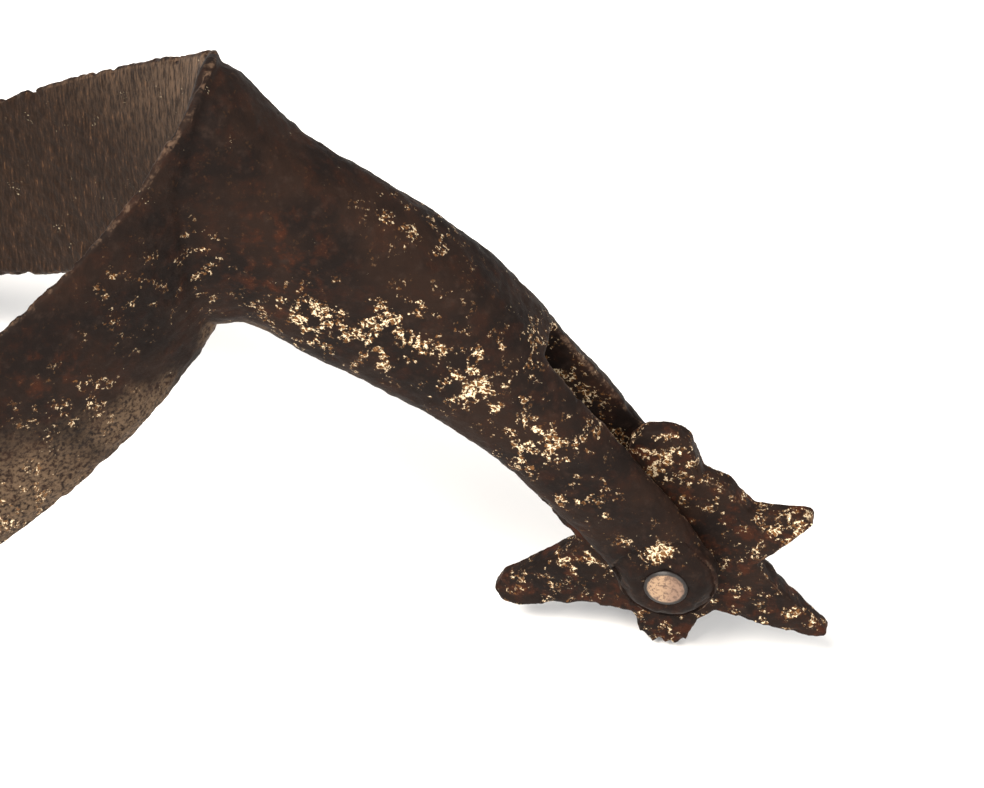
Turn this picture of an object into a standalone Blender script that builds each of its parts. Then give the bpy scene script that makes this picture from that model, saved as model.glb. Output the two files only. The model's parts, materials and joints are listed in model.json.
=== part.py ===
"""A hand-forged iron rowel spur: heel band, drooping neck with its rowel box, rowel on a peened
pin, and the buckle and hooks that hang in the two-ring terminals of the branches.

Metres, +Z up. The spur stands as it lies on a table, on its two branches and its rowel. +X points
rearwards, from the branches' open end to the rowel, and Y runs along the rowel's pin. The side at
-Y is the near side, which carries the buckle. Places along the spur are measured from the heel
point, the rear of the heel band in the middle plane; heights are measured from the table. The
last function sets the finished spur down with the middle of its length at the origin.
"""
import math

import bmesh
import bpy
from mathutils import Vector

# Clearances
FIT_GAP = 0.0003            # between two pieces fixed to each other
RUNNING_GAP = 0.0004        # round a pin, a bar or a ring that a piece swings on
FLOOR_GAP = 0.0002          # under a hook or a buckle whose end lies on the table
MERGE = 0.00001             # points nearer than this are one

# Heel band: plan of its outer face, and its side view
BAND_HALF_WIDTH = 0.0368    # middle plane to a branch's outer face
BAND_DEPTH = 0.0718         # heel point to where the branches run parallel
BAND_ROUNDNESS = 1.85       # 2 would be a true half ellipse
BAND_EDGE = 0.0010          # thickness along the upper edge
SEAT_HALF_WIDTH = 0.0042    # flat inside the heel, where it bears on the boot
CREST_HEIGHT = 0.0042       # peak over the neck
CREST_SPREAD = 0.0105       # half width over which the peak falls away
CREST_LEAN = 0.0020         # how far the peak's edge leans back over the neck
LEAN_START = 0.78           # share of the height at which the peak starts to lean
# behind the heel point, upper edge, lower edge, thickness
BAND_SIDE = (
    (0.0000, 0.0602, 0.0349, 0.0030),
    (-0.0080, 0.0539, 0.0281, 0.0029),
    (-0.0160, 0.0476, 0.0224, 0.0028),
    (-0.0240, 0.0415, 0.0172, 0.0028),
    (-0.0320, 0.0355, 0.0131, 0.0027),
    (-0.0450, 0.0263, 0.0052, 0.0026),
    (-0.0600, 0.0168, 0.0000, 0.0026),
    (-0.0720, 0.0136, 0.0026, 0.0025),
    (-0.0820, 0.0148, 0.0074, 0.0025),
    (-0.0910, 0.0168, 0.0112, 0.0025),
)

# Terminals: two round-section rings one above the other at the end of each branch
TERMINAL_X = -0.0925
TERMINAL_Z = 0.0140
RING_RADIUS = 0.0037        # centre line of a ring
RING_WIRE = 0.0015          # radius of the ring's own section
RING_PITCH = 0.0100         # between the two ring centres

# Neck: underside point, upper point and width of each station, from the band to the pin
NECK_STATIONS = (
    (-0.0012, 0.0369, -0.0012, 0.0632, 0.0136),
    (0.0016, 0.0369, 0.0022, 0.0613, 0.0122),
    (0.0045, 0.0359, 0.0072, 0.0562, 0.0115),
    (0.0084, 0.0340, 0.0152, 0.0516, 0.0113),
    (0.0138, 0.0317, 0.0224, 0.0469, 0.0112),
    (0.0203, 0.0287, 0.0283, 0.0410, 0.0112),
    (0.0258, 0.0251, 0.0327, 0.0351, 0.0111),
    (0.0302, 0.0211, 0.0374, 0.0295, 0.0110),
    (0.0369, 0.0143, 0.0443, 0.0210, 0.0108),
    (0.0401, 0.0094, 0.0479, 0.0158, 0.0108),
)
NECK_ROOT_SHAPE = 2.4       # exponent of the oval section at the band
NECK_FORK_SHAPE = 4.0       # and at the fork, where the sides are flatter

# Rowel box: a slot that parts the neck's end into two tines, and the bosses round the pin
AXLE_X = 0.0440
AXLE_Z = 0.0126
SLOT_WIDTH = 0.0048
SLOT_TOP = (0.0309, 0.0386)      # where the slot starts on the neck's upper side
SLOT_BOTTOM = (0.0262, 0.0250)   # and on its underside
BOSS_RADIUS = 0.0050
BOSS_FACE_RADIUS = 0.0036
BOX_HALF_WIDTH = 0.0056          # middle plane to a boss's outer face
BOSS_BEVEL = 0.0013

# Rowel pin, spread at both ends
PIN_RADIUS = 0.0015
PIN_HEAD_RADIUS = 0.0018
PIN_HEAD_DEPTH = 0.0011
PIN_PROUD = 0.0002

# Rowel: six filed points, no two alike after long wear
ROWEL_THICKNESS = 0.0026
# angle, reach, half width at mid length, half width near the end, valley before it (angle, radius)
ROWEL_POINTS = (
    (28, 0.0150, 0.0027, 0.0009, 4, 0.0083),
    (98, 0.0161, 0.0038, 0.0029, 64, 0.0111),
    (150, 0.0172, 0.0032, 0.0013, 124, 0.0095),
    (207, 0.0190, 0.0030, 0.0020, 178, 0.0090),
    (270, 0.0121, 0.0033, 0.0023, 236, 0.0094),
    (333, 0.0180, 0.0025, 0.0010, 308, 0.0080),
)

# Hooks that pass round a terminal ring; each hangs until its end all but meets the table
HOOK_WIRE = 0.0009          # radius
HOOK_TIP = 0.0018           # open leg beyond the ring
# Stud plate in the far upper ring
PLATE_THICKNESS = 0.0016
PLATE_HALF_HEIGHT = 0.0040
PLATE_START = 0.0078        # from the ring's centre
PLATE_EASE = 0.0004         # bevel along its edges
PLATE_ROOT_TAPER = 0.7      # its height at the hook, as a share of the rest
HOOK_BURIED = 0.0020        # how far a hook's shank runs on into its plate
PLATE_END = 0.0260
STUD_AT = 0.0205
STUD_SHANK_RADIUS = 0.0013
STUD_HEAD_RADIUS = 0.0036
STUD_STANDOFF = 0.0024
STUD_HEAD_RISE = 0.0011
STUD_HEAD_EDGE = 0.0008     # from the head's widest line back to its neck
STUD_COLLAR_RADIUS = 0.0022 # rivet end behind the plate, and shoulder in front
STUD_RIVET_RISE = 0.0007
# Sole hooks in the lower rings
SOLE_HOOK_REACH = 0.0128
SOLE_HOOK_CURL = 0.0018
# Buckle in the near upper ring: a link, a stirrup-shaped frame on a bar, and its tongue
LINK_HALF_HEIGHT = 0.0033
BAR_AT = 0.0190             # ring's centre to the buckle's bar
BAR_RADIUS = 0.0010
BAR_HEAD_RADIUS = 0.0016
BAR_HEAD_DEPTH = 0.0008
KNUCKLE_RADIUS = 0.0023
KNUCKLE_END = 0.0036
KNUCKLE_LAP = 0.0001        # how far a knuckle stands over the link's notch
TONGUE_WIRE = 0.0009
FRAME_WIRE = 0.0014
FRAME_HALF_HEIGHT = 0.0086
FRAME_LENGTH = 0.0160       # bar to the frame's front rail
FRAME_CORNER = 0.0042
FRAME_EYE_RADIUS = 0.0024
FRAME_EYE_HEIGHT = 0.0026
TONGUE_OVERHANG = 0.0012    # past the front rail

SECTION_POINTS = 32
BAND_STEPS = 36
END_STEPS = 8


def start_scene():
    """Clears the scene, and makes one collection for the spur and one for its cutters."""
    for old in list(bpy.data.objects):
        bpy.data.objects.remove(old, do_unlink=True)
    spur = bpy.data.collections.new("rowel_spur")
    cutters = bpy.data.collections.new("cutters")
    bpy.context.scene.collection.children.link(spur)
    bpy.context.scene.collection.children.link(cutters)
    return spur, cutters


SPUR, CUTTERS = start_scene()


def iron(name, colour, roughness, metallic):
    """A plain iron finish of its own for one sub-part."""
    material = bpy.data.materials.new(name)
    material.use_nodes = True
    shader = material.node_tree.nodes["Principled BSDF"]
    shader.inputs["Base Color"].default_value = (*colour, 1)
    shader.inputs["Roughness"].default_value = roughness
    shader.inputs["Metallic"].default_value = metallic
    return material


def keep(obj, parent, material):
    """Puts a finished sub-part in the spur's collection, under its parent."""
    for collection in list(obj.users_collection):
        collection.objects.unlink(obj)
    SPUR.objects.link(obj)
    obj.data.materials.clear()
    obj.data.materials.append(material)
    obj.data.shade_smooth()
    obj.data.set_sharp_from_angle(angle=math.radians(35))
    obj.parent = parent
    return obj


def as_cutter(obj, parent):
    """Puts a helper shape, added to or cut from a sub-part, out of sight."""
    for collection in list(obj.users_collection):
        collection.objects.unlink(obj)
    CUTTERS.objects.link(obj)
    obj.hide_render = True
    obj.display_type = "WIRE"
    obj.parent = parent
    return obj


def combine(obj, helper, operation):
    modifier = obj.modifiers.new(helper.name, "BOOLEAN")
    modifier.operation = operation
    modifier.solver = "EXACT"
    modifier.object = helper


def joint_point(name, parent, place, rotation=(0, 0, 0)):
    """An empty on a joint's axis, which carries the pieces that move there."""
    empty = bpy.data.objects.new(name, None)
    empty.empty_display_size = 0.005
    empty.parent = parent
    empty.location = place
    empty.rotation_euler = rotation
    SPUR.objects.link(empty)
    return empty


def mesh_object(name, mesh):
    obj = bpy.data.objects.new(name, mesh)
    bpy.context.scene.collection.objects.link(obj)
    return obj


def loft(name, rings, open_start=False):
    """A skin through closed rings of equal point counts, capped at its ends."""
    shape = bmesh.new()
    rows = [[shape.verts.new(point) for point in ring] for ring in rings]
    count = len(rows[0])
    for here, there in zip(rows, rows[1:]):
        for i in range(count):
            j = (i + 1) % count
            shape.faces.new((here[i], here[j], there[j], there[i]))
    for row in rows[-1:] if open_start else (rows[0], rows[-1]):
        middle = shape.verts.new(sum((v.co for v in row), Vector()) / count)
        for i in range(count):
            shape.faces.new((row[i], row[(i + 1) % count], middle))
    bmesh.ops.recalc_face_normals(shape, faces=shape.faces)
    mesh = bpy.data.meshes.new(name)
    shape.to_mesh(mesh)
    shape.free()
    return mesh_object(name, mesh)


def curve_mesh(name, curve):
    """The mesh of a curve, with its caps welded on."""
    source = bpy.data.objects.new(name + "_curve", curve)
    bpy.context.scene.collection.objects.link(source)
    bpy.context.view_layer.update()
    evaluated = source.evaluated_get(bpy.context.evaluated_depsgraph_get())
    mesh = bpy.data.meshes.new_from_object(evaluated)
    bpy.data.objects.remove(source, do_unlink=True)
    welded = bmesh.new()
    welded.from_mesh(mesh)
    bmesh.ops.remove_doubles(welded, verts=welded.verts, dist=MERGE)
    bmesh.ops.recalc_face_normals(welded, faces=welded.faces)
    welded.to_mesh(mesh)
    welded.free()
    mesh.name = name
    return mesh_object(name, mesh)


def wire(name, points, radius):
    """A round bar bent along the given points."""
    curve = bpy.data.curves.new(name, "CURVE")
    curve.dimensions = "3D"
    curve.bevel_depth = radius
    curve.bevel_resolution = 3
    curve.use_fill_caps = True
    spline = curve.splines.new("POLY")
    spline.points.add(len(points) - 1)
    for target, point in zip(spline.points, points):
        target.co = (*point, 1)
    return curve_mesh(name, curve)


def flat_outline(name, points, thickness):
    """A flat piece of even thickness, whose outline lies in the XZ plane."""
    curve = bpy.data.curves.new(name, "CURVE")
    curve.dimensions = "2D"
    curve.fill_mode = "BOTH"
    curve.extrude = thickness / 2
    spline = curve.splines.new("POLY")
    spline.points.add(len(points) - 1)
    for target, (x, z) in zip(spline.points, points):
        target.co = (x, z, 0, 1)
    spline.use_cyclic_u = True
    obj = curve_mesh(name, curve)
    for vertex in obj.data.vertices:
        vertex.co = (vertex.co.x, -vertex.co.z, vertex.co.y)
    return obj


def turned(name, profile, steps=28):
    """A piece turned about its own Z from (radius, height) pairs, given from the top down."""
    mesh = bpy.data.meshes.new(name)
    vertices = [(radius, 0, height) for radius, height in profile]
    edges = [(i, i + 1) for i in range(len(profile) - 1)]
    mesh.from_pydata(vertices, edges, [])
    obj = mesh_object(name, mesh)
    screw = obj.modifiers.new("turn", "SCREW")
    screw.axis = "Z"
    screw.steps = steps
    screw.render_steps = steps
    screw.use_merge_vertices = True
    screw.merge_threshold = MERGE
    return obj


def along_y(obj, place):
    """Lays a turned piece along Y, its top towards +Y, at the given place."""
    obj.rotation_euler = (-math.pi / 2, 0, 0)
    obj.location = place
    return obj


def arc(centre, radius, start, end, steps):
    """Points of an arc in the XY plane, angles in degrees."""
    points = []
    for i in range(steps + 1):
        angle = math.radians(start + (end - start) * i / steps)
        x = centre[0] + radius * math.cos(angle)
        y = centre[1] + radius * math.sin(angle)
        points.append((x, y, 0))
    return points


def follow(table, place):
    """Reads a table of stations as smooth curves over its first column, which falls."""
    spans = range(len(table) - 1)
    index = next((i for i in spans if place >= table[i + 1][0]), len(table) - 2)
    before, after = table[index], table[index + 1]
    earlier = table[max(index - 1, 0)]
    later = table[min(index + 2, len(table) - 1)]
    span = after[0] - before[0]
    share = (place - before[0]) / span
    values = []
    for k in range(1, len(before)):
        leave = (after[k] - earlier[k]) / (after[0] - earlier[0]) * span
        arrive = (later[k] - before[k]) / (later[0] - before[0]) * span
        rise = after[k] - before[k]
        bend = (leave + arrive - 2 * rise) * share + (3 * rise - 2 * leave - arrive)
        values.append(before[k] + leave * share + bend * share * share)
    return values


def between(table, share):
    """Reads evenly counted stations as smooth curves, share running from 0 to 1."""
    place = share * (len(table) - 1)
    counted = [(-i, *row) for i, row in enumerate(table)]
    return follow(counted, -place)


def band_plan():
    """Points of the far half of the outer face in plan, with their outward directions."""
    power = 2 / BAND_ROUNDNESS
    outline = []
    for i in range(BAND_STEPS + 1):
        angle = math.radians(90 * i / BAND_STEPS)
        x = -BAND_DEPTH * (1 - math.cos(angle) ** power) if i < BAND_STEPS else -BAND_DEPTH
        y = BAND_HALF_WIDTH * math.sin(angle) ** power
        outline.append(Vector((x, y, 0)))
    end = BAND_SIDE[-1][0]
    for i in range(1, END_STEPS + 1):
        x = -BAND_DEPTH + (end + BAND_DEPTH) * i / END_STEPS
        outline.append(Vector((x, BAND_HALF_WIDTH, 0)))
    outward = [Vector((1, 0, 0))]
    for i in range(1, len(outline)):
        later = outline[min(i + 1, len(outline) - 1)]
        along = later - outline[i - 1]
        outward.append(Vector((along.y, -along.x, 0)).normalized())
    return list(zip(outline, outward))


def band_section(point, outward, grow):
    """One upright cut of the band: flat inside, swelling outside, thin along its upper edge."""
    top, bottom, thickness = follow(BAND_SIDE, point.x)
    crest = math.exp(-((point.y / CREST_SPREAD) ** 2))
    top += CREST_HEIGHT * crest
    height = top - bottom
    # Up the section: share of its height, and share of its thickness, measured from the inner face.
    swell = ((0.0, 0.45), (0.03, 0.80), (0.10, 0.98), (0.25, 1.0), (0.45, 0.99), (0.65, 0.92))
    upper = ((0.80, 0.80), (0.91, 0.58))
    edge = BAND_EDGE / thickness
    skin = list(swell + upper) + [(0.985, edge), (1.0, edge * 0.75)]
    inside = [(1.0, edge * 0.25), (0.985, 0), (0.75, 0), (0.5, 0), (0.25, 0), (0.02, 0), (0.0, 0.2)]
    inner = point - outward * thickness
    if point.y < SEAT_HALF_WIDTH:
        inner.x = seat_plane()
    ring = []
    for share, depth in skin + inside:
        spread = inner.lerp(point, depth)
        lean = outward * CREST_LEAN * crest * max(0, share - LEAN_START) / (1 - LEAN_START)
        height_here = bottom + height * share
        ring.append(Vector((spread.x + lean.x, spread.y + lean.y, height_here)))
    if grow:
        # Half as much again sideways, so that the gap holds where the faces slant.
        middle = sum(ring, Vector()) / len(ring)
        ring = [p + grow * 1.5 * (outward if (p - middle).dot(outward) > 0 else -outward) for p in ring]
        ring = [p + Vector((0, 0, math.copysign(grow, p.z - middle.z))) for p in ring]
    return ring


def seat_plane():
    """Place of the flat inside the heel: the inner face where the flat begins."""
    plan = band_plan()
    first, outward = next(pair for pair in plan if pair[0].y >= SEAT_HALF_WIDTH)
    thickness = follow(BAND_SIDE, first.x)[2]
    return (first - outward * thickness).x


def band_blank(name, grow=0):
    """The band without its rings: one branch lofted from the middle plane, and mirrored."""
    rings = [band_section(point, outward, grow) for point, outward in band_plan()]
    for point in rings[0]:
        point.y = 0
    blank = loft(name, rings, open_start=True)
    mirror = blank.modifiers.new("other branch", "MIRROR")
    mirror.use_axis = (False, True, False)
    mirror.merge_threshold = MERGE
    return blank


def ring_centre(side, level):
    """Centre of a terminal ring; side is 1 far or -1 near, level 1 upper or -1 lower."""
    y = side * (BAND_HALF_WIDTH - BAND_SIDE[-1][3] / 2)
    return Vector((TERMINAL_X, y, TERMINAL_Z + level * RING_PITCH / 2))


def make_heel_band(root):
    """The yoke round the heel, forged from one bar with its crest and its four rings."""
    band = band_blank("heel_band")
    for side in (1, -1):
        for level in (1, -1):
            bpy.ops.mesh.primitive_torus_add(
                major_segments=24, minor_segments=10,
                major_radius=RING_RADIUS, minor_radius=RING_WIRE,
                location=ring_centre(side, level), rotation=(math.pi / 2, 0, 0))
            ring = as_cutter(bpy.context.object, root)
            ring.name = f"terminal_ring_{side}_{level}"
            combine(band, ring, "UNION")
    return keep(band, root, iron("forged iron, heel band", (0.055, 0.038, 0.030), 0.55, 0.85))


def neck_section(bx, bz, tx, tz, width, shape):
    """An oval cut of the neck, square to its run, between an underside and an upper point."""
    low, high = Vector((bx, 0, bz)), Vector((tx, 0, tz))
    middle, up = (low + high) / 2, (high - low) / 2
    ring = []
    for i in range(SECTION_POINTS):
        angle = 2 * math.pi * i / SECTION_POINTS
        across = math.copysign(abs(math.sin(angle)) ** (2 / shape), math.sin(angle))
        rise = math.copysign(abs(math.cos(angle)) ** (2 / shape), math.cos(angle))
        ring.append(middle + up * rise + Vector((0, across * width / 2, 0)))
    return ring


def slot_cutter(root):
    """The rowel box's slot, open above, below and past the neck's end."""
    run = (Vector(SLOT_TOP) - Vector(SLOT_BOTTOM)).normalized()
    above = Vector(SLOT_TOP) + run * 2 * BOSS_RADIUS
    below = Vector(SLOT_BOTTOM) - run * 2 * AXLE_Z
    past = AXLE_X + 2 * BOSS_RADIUS
    outline = [tuple(above), tuple(below), (past, below.y), (past, above.y)]
    return as_cutter(flat_outline("rowel_slot", outline, SLOT_WIDTH), root)


def pin_profile(grow, half_length):
    """The pin's turned outline, spread at both ends; grow widens it into its hole."""
    shank = PIN_RADIUS + grow
    head = PIN_HEAD_RADIUS + grow
    step = BOX_HALF_WIDTH + PIN_PROUD - PIN_HEAD_DEPTH
    return [(0, half_length), (head, half_length), (head, step + PIN_HEAD_DEPTH / 2),
            (shank, step), (shank, -step), (head, -step - PIN_HEAD_DEPTH / 2),
            (head, -half_length), (0, -half_length)]


def make_neck(root):
    """The drooping neck, its end parted into two tines with bosses round the pin."""
    rings = []
    for i in range(SECTION_POINTS + 1):
        share = i / SECTION_POINTS
        shape = NECK_ROOT_SHAPE + (NECK_FORK_SHAPE - NECK_ROOT_SHAPE) * share
        rings.append(neck_section(*between(NECK_STATIONS, share), shape))
    neck = loft("neck", rings)
    axle = Vector((AXLE_X, 0, AXLE_Z))
    shoulder = BOX_HALF_WIDTH - BOSS_BEVEL
    profile = [(0, BOX_HALF_WIDTH), (BOSS_FACE_RADIUS, BOX_HALF_WIDTH), (BOSS_RADIUS, shoulder),
               (BOSS_RADIUS, -shoulder), (BOSS_FACE_RADIUS, -BOX_HALF_WIDTH), (0, -BOX_HALF_WIDTH)]
    boss = as_cutter(along_y(turned("boss", profile), axle), root)
    band = as_cutter(band_blank("band_clearance", FIT_GAP), root)
    hole = turned("pin_hole", pin_profile(FIT_GAP, 2 * BOX_HALF_WIDTH))
    hole = as_cutter(along_y(hole, axle), root)
    combine(neck, boss, "UNION")
    combine(neck, band, "DIFFERENCE")
    combine(neck, slot_cutter(root), "DIFFERENCE")
    combine(neck, hole, "DIFFERENCE")
    return keep(neck, root, iron("forged iron, neck", (0.050, 0.035, 0.028), 0.50, 0.85))


def make_pin(root):
    pin = turned("rowel_pin", pin_profile(0, BOX_HALF_WIDTH + PIN_PROUD))
    along_y(pin, (AXLE_X, 0, AXLE_Z))
    return keep(pin, root, iron("peened iron, pin", (0.45, 0.36, 0.31), 0.35, 0.9))


def rowel_outline():
    """The star's outline: each point's flanks swell a little between its valleys and its end."""
    outline = []
    for angle, reach, middle, end, valley, radius in ROWEL_POINTS:
        turn = math.radians(valley)
        outline.append((radius * math.cos(turn), radius * math.sin(turn)))
        way = Vector((math.cos(math.radians(angle)), math.sin(math.radians(angle))))
        side = Vector((way.y, -way.x))
        flank = [(0.66, middle, 1), (0.93, end, 1), (1.0, end * 0.45, 1),
                 (1.0, end * 0.45, -1), (0.93, end, -1), (0.66, middle, -1)]
        for share, half, hand in flank:
            spot = way * reach * share + side * half * hand
            outline.append((spot.x, spot.y))
    return outline


def make_rowel(root):
    """The six-point rowel, filed from plate, which spins on the pin."""
    axle = joint_point("rowel_axle", root, (AXLE_X, 0, AXLE_Z))
    rowel = flat_outline("rowel", rowel_outline(), ROWEL_THICKNESS)
    radius = PIN_RADIUS + RUNNING_GAP
    half = ROWEL_THICKNESS
    bore = turned("rowel_bore", [(0, half), (radius, half), (radius, -half), (0, -half)])
    bore = as_cutter(along_y(bore, (0, 0, 0)), axle)
    combine(rowel, bore, "DIFFERENCE")
    return keep(rowel, axle, iron("filed iron, rowel", (0.065, 0.040, 0.030), 0.60, 0.8))


def ring_joint(name, root, side, level, reach, half_height, rounding):
    """The point that a hanging piece turns on: local X runs forward and down from the ring.

    The piece's lowest corner lies reach ahead and half_height below, rounded off by rounding.
    """
    centre = ring_centre(side, level)
    fall = centre.z - FLOOR_GAP - rounding
    droop = math.asin(fall / math.hypot(reach, half_height)) - math.atan2(half_height, reach)
    return joint_point(name, root, centre, (0, droop, math.pi))


def hook_offset():
    """Distance between a hook's wire and the ring's wire, centre to centre."""
    return RING_WIRE + RUNNING_GAP + HOOK_WIRE


def ring_hook(name, hand, straight_to):
    """A hook round the ring's wire, its shank on the side given by hand, in the XY plane."""
    offset = hook_offset()
    bend = arc((RING_RADIUS, 0), offset, 90, 270, 12)
    tip = (RING_RADIUS + HOOK_TIP, -offset, 0)
    points = [(straight_to, offset, 0)] + bend + [tip]
    return wire(name, [(x, hand * y, z) for x, y, z in points], HOOK_WIRE)


def strap_plate(name, start, end, half_height, y):
    """A forged flat with eased edges, standing upright beside the ring."""
    bpy.ops.mesh.primitive_cube_add(size=1)
    plate = bpy.context.object
    plate.name = name
    for vertex in plate.data.vertices:
        x = start if vertex.co.x < 0 else end
        taper = PLATE_ROOT_TAPER if vertex.co.x < 0 else 1.0
        z = math.copysign(half_height * taper, vertex.co.z)
        vertex.co = (x, y + vertex.co.y * PLATE_THICKNESS, z)
    bevel = plate.modifiers.new("eased edges", "BEVEL")
    bevel.width = PLATE_EASE
    bevel.segments = 2
    return plate


def make_stud_plate(root):
    """Far upper ring: a hooked plate with a stud, which the instep strap buttons over."""
    joint = ring_joint("stud_plate_joint", root, 1, 1, PLATE_END, PLATE_HALF_HEIGHT, 0)
    outer = -hook_offset()
    plate = strap_plate("stud_plate", PLATE_START, PLATE_END, PLATE_HALF_HEIGHT, outer)
    hook = as_cutter(ring_hook("stud_plate_hook", -1, PLATE_START + HOOK_BURIED), joint)
    combine(plate, hook, "UNION")
    radius = STUD_SHANK_RADIUS + FIT_GAP
    reach = 2 * PLATE_THICKNESS
    hole = turned("stud_hole", [(0, reach), (radius, reach), (radius, -reach), (0, -reach)])
    hole = as_cutter(along_y(hole, (STUD_AT, outer, 0)), joint)
    combine(plate, hole, "DIFFERENCE")
    keep(plate, joint, iron("forged iron, stud plate", (0.055, 0.038, 0.030), 0.55, 0.85))
    shank, head = STUD_SHANK_RADIUS, STUD_HEAD_RADIUS
    face = PLATE_THICKNESS / 2 + FIT_GAP
    out = face + STUD_STANDOFF
    collar, rivet = STUD_COLLAR_RADIUS, face + STUD_RIVET_RISE
    waist = (shank + collar) / 2
    profile = [(0, rivet), (waist, rivet), (collar, face), (shank, face),
               (shank, -face), (collar, -face), (waist, -out + STUD_HEAD_EDGE), (head, -out),
               (head * 0.8, -out - STUD_HEAD_RISE * 0.6), (head * 0.4, -out - STUD_HEAD_RISE * 0.9),
               (0, -out - STUD_HEAD_RISE)]
    stud = along_y(turned("strap_stud", profile), (STUD_AT, outer, 0))
    keep(stud, joint, iron("turned iron, stud", (0.07, 0.05, 0.04), 0.45, 0.85))


def make_sole_hook(name, root, side):
    """Lower ring: an S of round bar that the strap or chain under the sole catches on."""
    joint = ring_joint(name + "_joint", root, side, -1, SOLE_HOOK_REACH - HOOK_WIRE, 0, HOOK_WIRE)
    offset = hook_offset()
    hand = side
    catch = (SOLE_HOOK_REACH - SOLE_HOOK_CURL - HOOK_WIRE, offset - SOLE_HOOK_CURL)
    curl = arc(catch, SOLE_HOOK_CURL, 90, -150, 12)
    ring_end = arc((RING_RADIUS, 0), offset, 270, 90, 12)
    start = (RING_RADIUS + HOOK_TIP, -offset, 0)
    points = [start] + ring_end + curl
    hook = wire(name, [(x, hand * y, z) for x, y, z in points], HOOK_WIRE)
    keep(hook, joint, iron("drawn iron, " + name, (0.06, 0.042, 0.032), 0.5, 0.85))


def upright_round(name, radius, low, high, place):
    profile = [(0, high), (radius, high), (radius, low), (0, low)]
    piece = turned(name, profile)
    piece.location = place
    return piece


def tongue_loop():
    """Radius of the tongue's loop round the bar, to the middle of its wire."""
    return BAR_RADIUS + RUNNING_GAP + TONGUE_WIRE


def notch_cutter(name, reach, half_height, place):
    """A block that clears room for the tongue's loop in the middle of the knuckle."""
    bpy.ops.mesh.primitive_cube_add(size=1)
    block = bpy.context.object
    block.name = name
    for vertex in block.data.vertices:
        vertex.co = [math.copysign(half, axis) for half, axis in
                     zip((reach, 2 * reach, half_height), vertex.co)]
    block.location = place
    return block


def make_buckle(root):
    """Near upper ring: link, frame with its bar, and tongue, each turning on the next."""
    reach = BAR_AT + FRAME_LENGTH - FRAME_CORNER
    corner = FRAME_HALF_HEIGHT - FRAME_CORNER
    joint = ring_joint("buckle_link_joint", root, -1, 1, reach, corner, FRAME_CORNER + FRAME_WIRE)
    outer = hook_offset()
    bar_place = (BAR_AT, outer, 0)
    notch = TONGUE_WIRE + RUNNING_GAP
    link = strap_plate("buckle_link", PLATE_START, BAR_AT, LINK_HALF_HEIGHT, outer)
    loop = tongue_loop() + TONGUE_WIRE + RUNNING_GAP
    gap = notch_cutter("tongue_notch", loop, notch - KNUCKLE_LAP, bar_place)
    combine(link, as_cutter(gap, joint), "DIFFERENCE")
    hook = ring_hook("buckle_link_hook", 1, PLATE_START + HOOK_BURIED)
    combine(link, as_cutter(hook, joint), "UNION")
    knuckles = (("upper_knuckle", notch, KNUCKLE_END), ("lower_knuckle", -KNUCKLE_END, -notch))
    for name, low, high in knuckles:
        knuckle = upright_round(name, KNUCKLE_RADIUS, low, high, bar_place)
        combine(link, as_cutter(knuckle, joint), "UNION")
    past = 2 * KNUCKLE_END
    bore = upright_round("link_bore", BAR_RADIUS + RUNNING_GAP, -past, past, bar_place)
    combine(link, as_cutter(bore, joint), "DIFFERENCE")
    keep(link, joint, iron("forged iron, buckle link", (0.055, 0.038, 0.030), 0.55, 0.85))
    make_buckle_frame(joint_point("buckle_joint", joint, bar_place))


def make_buckle_frame(joint):
    """A stirrup of round bar whose two eyes hold the bar."""
    half = FRAME_HALF_HEIGHT
    bend = (FRAME_LENGTH - FRAME_CORNER, half - FRAME_CORNER)
    upper = [(0, half)] + [(x, z) for x, z, _ in arc(bend, FRAME_CORNER, 90, 0, 6)]
    points = [(x, 0, z) for x, z in upper] + [(x, 0, -z) for x, z in reversed(upper)]
    frame = wire("buckle_frame", points, FRAME_WIRE)
    for name, sign in (("upper_eye", 1), ("lower_eye", -1)):
        middle = sign * half
        low, high = middle - FRAME_EYE_HEIGHT / 2, middle + FRAME_EYE_HEIGHT / 2
        eye = upright_round(name, FRAME_EYE_RADIUS, low, high, (0, 0, 0))
        combine(frame, as_cutter(eye, joint), "UNION")
    past = 2 * half
    bore = upright_round("frame_bore", BAR_RADIUS + FIT_GAP, -past, past, (0, 0, 0))
    combine(frame, as_cutter(bore, joint), "DIFFERENCE")
    keep(frame, joint, iron("forged iron, buckle frame", (0.055, 0.038, 0.030), 0.5, 0.85))
    face = half + FRAME_EYE_HEIGHT / 2 + FIT_GAP
    end = face + BAR_HEAD_DEPTH
    profile = [(0, end), (BAR_HEAD_RADIUS * 0.7, end), (BAR_HEAD_RADIUS, face), (BAR_RADIUS, face),
               (BAR_RADIUS, -face), (BAR_HEAD_RADIUS, -face), (BAR_HEAD_RADIUS * 0.7, -end), (0, -end)]
    bar = turned("buckle_bar", profile, 20)
    keep(bar, joint, iron("drawn iron, buckle bar", (0.07, 0.05, 0.04), 0.45, 0.85))
    rest = FRAME_WIRE + FIT_GAP + TONGUE_WIRE
    tip = (FRAME_LENGTH + FRAME_WIRE + TONGUE_OVERHANG, rest, 0)
    points = arc((0, 0), tongue_loop(), -25, -280, 14) + [tip]
    tongue = wire("buckle_tongue", points, TONGUE_WIRE)
    keep(tongue, joint, iron("drawn iron, tongue", (0.06, 0.042, 0.032), 0.5, 0.85))


def set_down(root):
    """Moves the finished spur along its middle plane: centred on its length, lowest point at 0."""
    bpy.context.view_layer.update()
    depsgraph = bpy.context.evaluated_depsgraph_get()
    corners = []
    for part in SPUR.objects:
        if part.type == "MESH":
            shape = part.evaluated_get(depsgraph)
            corners += [shape.matrix_world @ vertex.co for vertex in shape.data.vertices]
    low = [min(point[i] for point in corners) for i in range(3)]
    high = [max(point[i] for point in corners) for i in range(3)]
    root.location = (-(low[0] + high[0]) / 2, 0, -low[2])


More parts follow.
